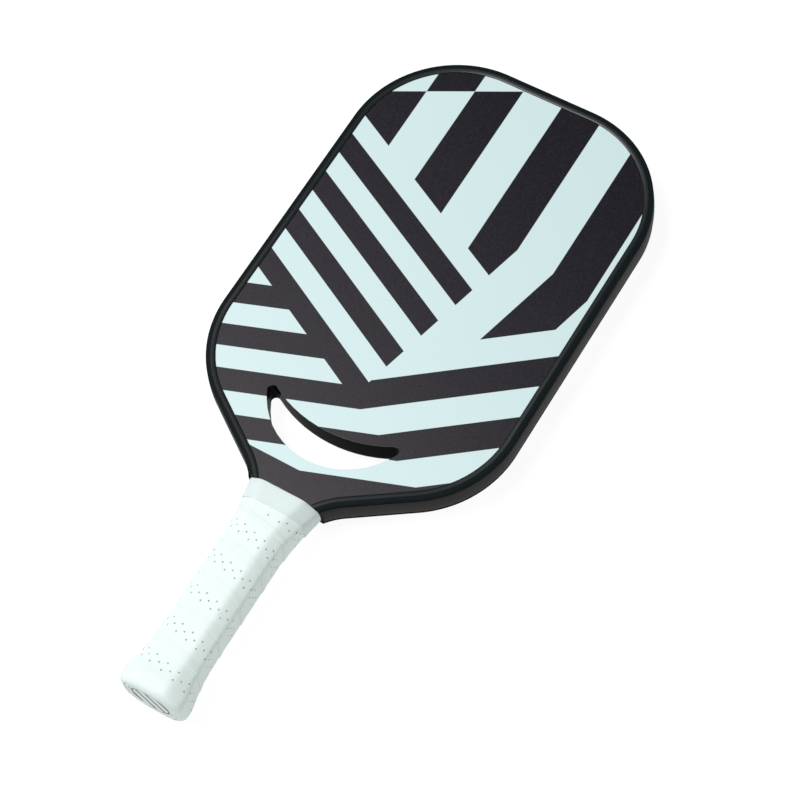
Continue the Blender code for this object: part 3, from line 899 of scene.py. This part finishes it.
@dataclass(frozen=True)
class GripWrap:
    """Cushioned tape wound from the butt to the collar, with three staggered rows of holes."""

    form: HandleForm = HandleForm()
    finish: GripLeather = GripLeather()
    pitch: float = 20.87
    seam_at: float = -5.83            # where a lower edge would lie at turn 0
    first: float = 4.4                # the winding's lowest and highest line
    last_columns: int = 707
    columns: int = 128                # steps once round
    overlap: float = 3.3
    lift: float = 0.26                # how far the upper layer stands over the lower one
    tape: float = 1.5
    low: float = 8.2                  # plain width below the holes, and above them
    row: float = 2.6                  # between rows of holes
    hole_step: int = 9                # columns between holes in a row
    stagger: int = 4
    hole_radius: float = 0.47
    hole_depth: float = 0.5

    @property
    def last(self) -> float:
        """The winding's highest line."""
        return self.first + self.pitch * self.last_columns / self.columns

    def rows(self) -> np.ndarray:
        """Distances of the grid's rows from the tape's lower edge, mm."""
        low = np.array([0.0, 0.12, 0.32, 0.7, 1.3, 2.1, 2.9, 3.7, 4.7, 6.2])
        band = self.low + self.row / 4 * np.arange(13)
        high = np.array([17.2, 18.4, 19.4, 20.1, 20.55])
        return np.concatenate([low, band, high, [self.pitch]])

    def edges(self, turn: np.ndarray) -> tuple[np.ndarray, np.ndarray]:
        """Lower and upper edge of the tape's visible width at a turn, held inside the winding."""
        lower = self.seam_at + self.pitch * turn
        return (np.clip(lower, self.first, self.last),
                np.clip(lower + self.pitch, self.first, self.last))

    def along(self, turn: np.ndarray, across: np.ndarray) -> tuple[np.ndarray, np.ndarray]:
        """Distance from the butt end of a line on the tape, and how much the tape is squeezed.

        Where the winding ends, the tape is tapered: the plain width nearest the end is lost first,
        then all of it evenly.
        """
        lower, upper = self.edges(turn)
        true = self.seam_at + self.pitch * turn
        plain = self.pitch - self.low - 3 * self.row
        low = self.low - np.minimum(lower - true, self.low - 1.6)
        high = plain - np.minimum(true + self.pitch - upper, plain - 1.0)
        squeeze = (upper - lower) / (low + 3 * self.row + high)
        start, stop = self.low, self.low + 3 * self.row
        share = (np.minimum(across, start) / start * low
                 + np.clip(across - start, 0, 3 * self.row)
                 + np.maximum(across - stop, 0) / plain * high)
        return lower + squeeze * share, squeeze

    def height(self, turn: np.ndarray, across: np.ndarray) -> np.ndarray:
        """Height over the plain handle: the lapped edge stands proud and the width between is padded.

        The lower edge rounds up over a fraction of a millimetre, stays up over the lap and sinks
        back; the upper edge is pressed down under the next turn.
        """
        lower, upper = self.edges(turn)
        start = (self.first - self.seam_at) / self.pitch
        grown = smooth_step((turn - start) / 0.35) * smooth_step((upper - lower) / 6.0)
        grown = grown * (1 - smooth_step((lower + across - 110.0) / 8.0))
        rounded = 0.35 + 0.65 * smooth_step(across / 0.55)
        lap = rounded * (1 - smooth_step((across - self.overlap + 0.8) / 2.4))
        pressed = smooth_step((across - self.pitch + 1.6) / 1.5)
        pad = np.sin(pi * np.clip(across / self.pitch, 0, 1)) ** 2
        ripple = np.sin(turn * 2 * pi * 3.7 + across * 0.5) * np.sin(turn * 2 * pi * 1.3 - across * 0.31)
        return grown * (self.lift * lap - 0.10 * pressed) + 0.07 * grown * pad * (1 + 0.6 * ripple)

    def lay(self, skin: Skin) -> None:
        """Lays the tape's outside: a sheared grid along the winding with round holes let into it."""
        rows = self.rows()
        count = self.columns + self.last_columns
        start = (self.first - self.seam_at) / self.pitch - 1
        turn = start + np.arange(count + 1) / self.columns
        turns, across = np.meshgrid(turn, rows)
        along, squeeze = self.along(turns, across)
        # painted shade along the lapped lower edge and where the tape runs under the next turn
        seam = np.exp(-across / 1.1) * 0.8 + np.exp(-(self.pitch - across) / 0.5) * 0.5
        seam = seam * smooth_step((turns - start - 1) / 0.35)
        numbers = skin.place(self.form.surface(turns, along, self.height(turns, across)), seam=seam)
        keep = np.ones((len(rows) - 1, count), bool)
        band = int(np.searchsorted(rows, self.low - 0.01))
        for line in range(3):
            middle_row = band + 2 + 4 * line
            centres = np.arange(6 + (line - 1) * self.stagger, count - 6, self.hole_step)
            held, place = squeeze[middle_row, centres], along[middle_row, centres]
            fits = (held > np.where(place > 60.0, 0.62, 0.86)) & (place > self.first + 3.5)
            fits &= self.seam_at + self.pitch * turn[centres] + rows[middle_row] < self.last - 0.9
            self.pierce(skin, numbers, keep, centres[fits], middle_row, turn, rows)
        skin.sheet(numbers, keep=keep)
        lap = np.stack([numbers[-1, :-self.columns], numbers[0, self.columns:]])
        skin.sheet(lap)

    def pierce(self, skin: Skin, numbers: np.ndarray, keep: np.ndarray, centres: np.ndarray,
               middle_row: int, turn: np.ndarray, rows: np.ndarray) -> None:
        """Sinks a hole in the middle of each patch of four by four quads.

        The patch's sixteen border points join a round rim, the rim an eased edge and the edge a wall
        that ends in a flat floor.

        Args:
            skin: the surface to add to.
            numbers: the grid's points by row and column.
            keep: which of the grid's quads stay; those of the patches are cleared.
            centres: the columns of the holes' middles.
            middle_row: the row of their middles.
            turn: the turn of each column.
            rows: the distance of each row from the tape's lower edge.
        """
        side = np.array([-2, -1, 0, 1, 2])
        border_column = np.concatenate([side[:-1], 0 * side[:-1] + 2, -side[:-1], 0 * side[:-1] - 2])
        border_row = np.concatenate([0 * side[:-1] - 2, side[:-1], 0 * side[:-1] + 2, -side[:-1]])
        border = numbers[middle_row + border_row[None], centres[:, None] + border_column[None]]
        quad = np.arange(-2, 2)
        keep[(middle_row + quad)[None, :, None], centres[:, None, None] + quad[None, None, :]] = False
        middle_turn, middle_across = turn[centres][:, None], rows[middle_row]
        middle_along, _ = self.along(middle_turn, middle_across)
        girth = self.form.girth(middle_along)
        aim = np.arctan2(border_row * self.row / 4, border_column * girth[0, 0] / self.columns)
        ring = [border]
        # the hole mark paints shade that deepens down each hole's wall
        for radius, depth, mark in ((1.5, 0.0, 0.0), (1.12, 0.03, 0.12), (0.96, 0.16, 0.75),
                                    (0.9, 1.0, 1.0)):
            reach = self.hole_radius * radius
            turns = middle_turn + reach * np.cos(aim) / girth
            along = middle_along + reach * np.sin(aim)
            across = middle_across + along - middle_along - (turns - middle_turn) * self.pitch
            out = self.height(turns, across) - depth * self.hole_depth
            points = self.form.surface(turns, along, out)
            ring.append(skin.place(points, hole=np.full(points.shape[:-1], mark)))
        for outer, inner in zip(ring, ring[1:]):
            skin.cover(np.stack([outer, np.roll(outer, -1, 1), np.roll(inner, -1, 1), inner], -1))
        skin.cover(ring[-1])

    def build(self) -> bpy.types.Object:
        """The wound outside, its turned-in ends and the smooth inside, as one closed tape."""
        skin = Skin()
        self.lay(skin)
        start = (self.first - self.seam_at) / self.pitch - 1
        turn = start + np.arange(self.columns) / self.columns
        foot = np.array([(4.4, 0.0), (3.7, -0.04), (3.0, -0.16), (2.35, -0.38), (1.75, -0.72),
                         (1.2, -1.18), (0.75, -1.7), (0.4, -2.28), (0.16, -2.9), (0.06, -3.35),
                         (0.12, -3.6), (0.4, -3.75), (0.9, -3.6), (1.6, -3.1), (2.4, -2.5),
                         (3.4, -1.95), (4.6, -1.62), (6.0, -1.5)])
        head = np.array([(130.0, -1.5), (130.0, -0.7), (120.4, -0.7), (120.2, 0.0), (self.last, 0.0)])
        inside = np.stack([np.linspace(6.0, 130.0, 40), np.full(40, -1.5)], -1)
        line = np.concatenate([foot, inside[1:-1], head])
        numbers = skin.place(self.form.surface(turn[None], line[:, :1], line[:, 1:]))
        skin.sheet(numbers, round_columns=True)
        return skin.make("grip_wrap_tape", 50.0)

    def dress(self, piece: bpy.types.Object) -> None:
        """White perforated leather."""
        put_on(piece, self.finish.material())


@dataclass(frozen=True)
class GripCollar:
    """The rubber collar over the grip's upper end, with a slightly thickened lower rim."""

    form: HandleForm = HandleForm()
    finish: CollarRubber = CollarRubber()
    bottom: float = 119.2
    top: float = 131.5
    inner: float = 0.03
    outer: float = 0.55
    bead: float = 0.1
    swell: float = 0.45               # extra thickness by the upper edge
    flange: tuple[float, float] = (130.4, -1.7)      # start and depth of the turned-in upper end

    def profile(self) -> np.ndarray:
        """The collar's closed section of (distance from the butt end, height over the grip).

        A half round ends the lower rim, whose thickening fades out, and the upper edge is eased.
        """
        turn = np.linspace(-pi / 2, pi / 2, 11)
        thick = (self.outer + self.bead - self.inner) / 2
        rim = np.stack([self.bottom + 0.5 - 0.5 * np.cos(turn),
                        self.inner + thick + thick * np.sin(turn)], -1)
        share = np.linspace(0.0, 1.0, 17)[1:-1]
        body = np.stack([self.bottom + 0.5 + (self.top - self.bottom - 1.2) * share,
                         self.outer + self.bead * (1 - smooth_step(share / 0.22))
                         + self.swell * smooth_step(share / 0.9)], -1)
        turn = np.linspace(pi / 2, 0.0, 7)
        edge = np.stack([self.top - 0.6 + 0.6 * np.cos(turn),
                         self.outer + self.swell - 0.55 + 0.55 * np.sin(turn)], -1)
        start, depth = self.flange
        turned = np.array([(self.top, depth), (start, depth), (start, self.inner)])
        back = np.stack([np.linspace(start - 1.0, self.bottom + 0.5, 8), np.full(8, self.inner)], -1)
        return np.concatenate([rim, body, edge, turned, back[:-1]])

    def build(self) -> bpy.types.Object:
        """The section carried round the handle."""
        line = self.profile()
        turn = np.arange(160) / 160
        skin = Skin()
        numbers = skin.place(self.form.surface(turn[None], line[:, :1], line[:, 1:]))
        skin.sheet(numbers, round_rows=True, round_columns=True)
        return skin.make("grip_collar_band", 45.0)

    def dress(self, piece: bpy.types.Object) -> None:
        """White rubber."""
        put_on(piece, self.finish.material())


@dataclass(frozen=True)
class ButtEnd:
    """The cap at the end of the handle and the oval badge let into it."""

    form: HandleForm = HandleForm()
    cap_finish: CapPlastic = CapPlastic("cap_plastic")
    badge_finish: CapPlastic = CapPlastic("badge_plastic", sunk_from=0.42)
    badge_width: float = 13.2
    badge_height: float = 11.4
    squareness: float = 0.85
    pocket: tuple[float, float, float] = (13.1, 11.2, 13.7)
    columns: int = 128
    bar_step: float = 7.4
    bar_width: float = 4.0

    def oval(self, angle: np.ndarray, share: np.ndarray) -> tuple[np.ndarray, np.ndarray]:
        """A full oval, squarer than an ellipse, at a share of the badge's size."""
        c, s = np.cos(angle), np.sin(angle)
        return (share * self.badge_width * np.sign(c) * np.abs(c) ** self.squareness,
                share * self.badge_height * np.sign(s) * np.abs(s) ** self.squareness)

    def build_cap(self) -> bpy.types.Object:
        """The cap: an octagon outside that turns in over its end, an oval recess and a pocket.

        Every ring is a mix of the octagon, moved in, and the recess's oval.
        """
        angle = np.arange(self.columns) * (2 * pi / self.columns)
        clear = 1 + 0.3 / self.badge_width
        outside = [(22.5, 1.8), (19.0, 1.8), (15.5, 1.8), (12.0, 1.8), (9.5, 1.8), (7.0, 1.8), (5.6, 1.83),
                   (4.5, 2.1), (3.4, 2.5), (2.5, 3.0), (1.8, 3.5), (1.2, 3.9), (0.8, 4.02), (0.45, 4.08),
                   (0.26, 4.18), (0.16, 4.4), (0.13, 4.8)]
        table = np.array(outside)
        rings = list(self.form.at_angle(angle[None], table[:, :1], -table[:, 1:]))
        for along, share in ((0.12, clear + 0.035), (0.16, clear + 0.012), (0.26, clear), (0.9, clear),
                             (1.5, clear), (1.5, clear * 0.7), (1.5, clear * 0.35)):
            x, z = self.oval(angle, np.array(share))
            rings.append(np.stack([x, np.full_like(x, BUTT_Y + along), z], -1))
        width, thick, chamfer = self.pocket
        inner = []
        for along, share in ((22.5, 1.0), (14.0, 1.0), (5.3, 1.0), (5.3, 0.6), (5.3, 0.25)):
            r = self.form.radius(angle, *(np.array(v) for v in (width, thick, chamfer))) * share
            y = np.full_like(r, BUTT_Y + along)
            inner.append(np.stack([r * np.cos(angle), y, r * np.sin(angle)], -1))
        skin = Skin()
        numbers = skin.place(np.array(inner[::-1] + rings))
        skin.sheet(numbers, round_columns=True)
        skin.cover(numbers[:1, ::-1])
        skin.cover(numbers[-1:])
        return skin.make("butt_cap_moulding", 40.0)

    def relief(self, x: np.ndarray, z: np.ndarray, share: np.ndarray) -> np.ndarray:
        """Depth of the badge's face: a raised rim, a sunk ring, and broad slanting bars inside it.

        Args:
            x: across the badge, mm.
            z: up the badge, mm.
            share: how far out towards the rim, from 0 to 1.

        Returns:
            Depth from the cap's end, mm.
        """
        rim = smooth_step((share - 0.89) / 0.03)
        fold = np.abs(((x + 0.55 * z) / self.bar_step + 0.5) % 1.0 - 0.5) * self.bar_step
        bars = 1 - smooth_step((fold - self.bar_width / 2) / 0.4)
        inside = (1 - smooth_step((share - 0.80) / 0.03)) * bars
        return 0.62 - 0.42 * np.maximum(rim, inside)

    def build_badge(self) -> bpy.types.Object:
        """The badge: a fine polar grid over its relief, a straight edge and a flat back."""
        angle = np.arange(self.columns) * (2 * pi / self.columns)
        share = np.concatenate([np.linspace(0.0, 0.985, 60), [0.996]])[:, None]
        x, z = self.oval(angle[None], share)
        depth = self.relief(x, z, np.broadcast_to(share, x.shape))
        front = np.stack([x, BUTT_Y + depth, z], -1)
        x, z = self.oval(angle, np.array(1.0))
        edge = [np.stack([x, np.full_like(x, BUTT_Y + along), z], -1) for along in (0.24, 0.7, 1.2)]
        x, z = self.oval(angle, np.array(0.5))
        back = np.stack([x, np.full_like(x, BUTT_Y + 1.2), z], -1)
        skin = Skin()
        numbers = skin.place(np.concatenate([front, np.array(edge), back[None]]))
        skin.sheet(numbers, round_columns=True)
        skin.cover(numbers[-1:])
        return skin.make("butt_badge_plate", 40.0)

    def dress(self, cap: bpy.types.Object, badge: bpy.types.Object) -> None:
        """White plastic, and grey in the badge's sunk parts."""
        put_on(cap, self.cap_finish.material())
        put_on(badge, self.badge_finish.material())


@dataclass(frozen=True)
class HandleInside:
    """What the grip hides, in its CAD shapes: the two shells and the tape at the grip's end."""

    shell: Speckled = Speckled("shell_foam", (0.10, 0.10, 0.11), 0.8, 0.06, 0.65)
    vinyl: Speckled = Speckled("finishing_vinyl", (0.03, 0.03, 0.032), 0.4, 0.01, 0.32)

    def dress(self, nodes: dict[str, bpy.types.Object]) -> None:
        """Puts dense foam on the shells and vinyl on the tape."""
        shell, vinyl = self.shell.material(), self.vinyl.material()
        put_on_nodes(nodes, {"handle_shell_front": shell, "handle_shell_back": shell,
                             "finishing_tape": vinyl})


# ---- Studio ------------------------------------------------------------------------------------------
@dataclass(frozen=True)
class Lamp:
    """One soft square light, aimed at a point."""

    name: str
    place: tuple[float, float, float]
    aim: tuple[float, float, float]
    size: float
    power: float
    tint: Colour = (1.0, 1.0, 1.0)

    def hang(self) -> None:
        """Puts the light in the scene."""
        data = bpy.data.lights.new(self.name, "AREA")
        data.shape, data.size, data.energy, data.color = "SQUARE", self.size, self.power, self.tint
        lamp = bpy.data.objects.new(self.name, data)
        lamp.location = self.place
        turn = (Vector(self.aim) - Vector(self.place)).to_track_quat("-Z", "Y")
        lamp.rotation_euler = turn.to_euler()
        bpy.context.scene.collection.objects.link(lamp)


@dataclass(frozen=True)
class Studio:
    """Pale floor, soft light and the camera."""

    lamps: tuple[Lamp, ...] = (
        Lamp("key", (-0.86, -0.36, 1.90), (0.0, 0.0, 0.0), 1.2, 41.5),
        Lamp("fill", (1.2, -0.9, 1.9), (0.0, 0.0, 0.0), 1.2, 14.0, (0.95, 1.0, 0.90)),
        Lamp("sheen", (-0.78, 0.34, 1.75), (0.0, -0.05, 0.0), 0.85, 5.5, (1.0, 0.86, 0.90)))
    ambient: Colour = (0.13, 0.135, 0.13)
    floor: Colour = (0.16, 0.16, 0.16)
    floor_glow: float = 0.90
    floor_z: float = -0.0005
    eye: tuple[float, float, float] = (0.3966, -0.4289, 1.1114)
    sight: tuple[float, float, float] = (-0.30267, 0.34871, -0.88701)
    upward: tuple[float, float, float] = (-0.42720, 0.78231, 0.45332)
    lens: float = 101.69

    def build_floor(self) -> None:
        """A wide flat sheet under the paddle."""
        mesh = bpy.data.meshes.new("floor")
        reach = 6.0
        corners = [(-reach, -reach), (reach, -reach), (reach, reach), (-reach, reach)]
        mesh.from_pydata([(x, y, self.floor_z) for x, y in corners], [], [(0, 1, 2, 3)])
        floor = bpy.data.objects.new("floor", mesh)
        bpy.context.scene.collection.objects.link(floor)
        graph = Graph("floor_paper")
        haze = graph.noise(400.0, 1.0)
        colour = graph.blend(haze, tuple(c * 0.99 for c in self.floor), self.floor)
        put_on(floor, graph.dress(Base_Color=colour, Roughness=0.9, Specular_IOR_Level=0.1,
                                  Emission_Color=(1.0, 1.0, 1.0), Emission_Strength=self.floor_glow))

    def build_light(self) -> None:
        """An even sky and the lamps."""
        scene = bpy.context.scene
        world = bpy.data.worlds.new("sky")
        world.use_nodes = True
        world.node_tree.nodes["Background"].inputs["Color"].default_value = (*self.ambient, 1.0)
        scene.world = world
        for lamp in self.lamps:
            lamp.hang()
        scene.view_settings.view_transform = "Standard"

    def build_camera(self) -> None:
        """The camera, from where it stands, where it looks and which way is up."""
        data = bpy.data.cameras.new("camera")
        data.sensor_width, data.lens = 36.0, self.lens
        camera = bpy.data.objects.new("camera", data)
        back = -Vector(self.sight).normalized()
        right = Vector(self.upward).cross(back).normalized()
        up = back.cross(right)
        turn = Matrix((right, up, back)).transposed().to_4x4()
        camera.matrix_world = Matrix.Translation(self.eye) @ turn
        bpy.context.scene.collection.objects.link(camera)
        bpy.context.scene.camera = camera


def add(maker: Union[EdgeGuard, SlotLiner, GripWrap, GripCollar], slot: str,
        node: str) -> bpy.types.Object:
    """Builds and dresses one piece and joins it to the frame in place of its CAD node.

    Args:
        maker: the piece's class, which builds and dresses it.
        slot: the name of its finish; not used.
        node: the CAD node that it stands for.

    Returns:
        The new piece.
    """
    piece = maker.build()
    maker.dress(piece)
    joins(piece, slot, node)
    return piece


def main() -> None:
    """Builds the paddle's looks piece by piece."""
    logging.basicConfig(level=logging.INFO, format="%(name)s: %(message)s")
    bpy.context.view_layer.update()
    nodes = frame["nodes"]

    studio = Studio()
    studio.build_camera()
    studio.build_floor()
    studio.build_light()

    Panel().dress(nodes)
    HandleInside().dress(nodes)

    add(EdgeGuard(), "edge_guard", "edge_guard")
    add(SlotLiner(), "slot_liner", "slot_liner")
    grip = add(GripWrap(), "grip_tape", "grip_wrap")
    add(GripCollar(), "grip_collar", "grip_collar")

    butt = ButtEnd()
    cap, badge = butt.build_cap(), butt.build_badge()
    butt.dress(cap, badge)
    joins(cap, "butt_cap", "butt_cap")
    joins(badge, "butt_badge", "butt_badge")


if __name__ == "__main__":
    main()
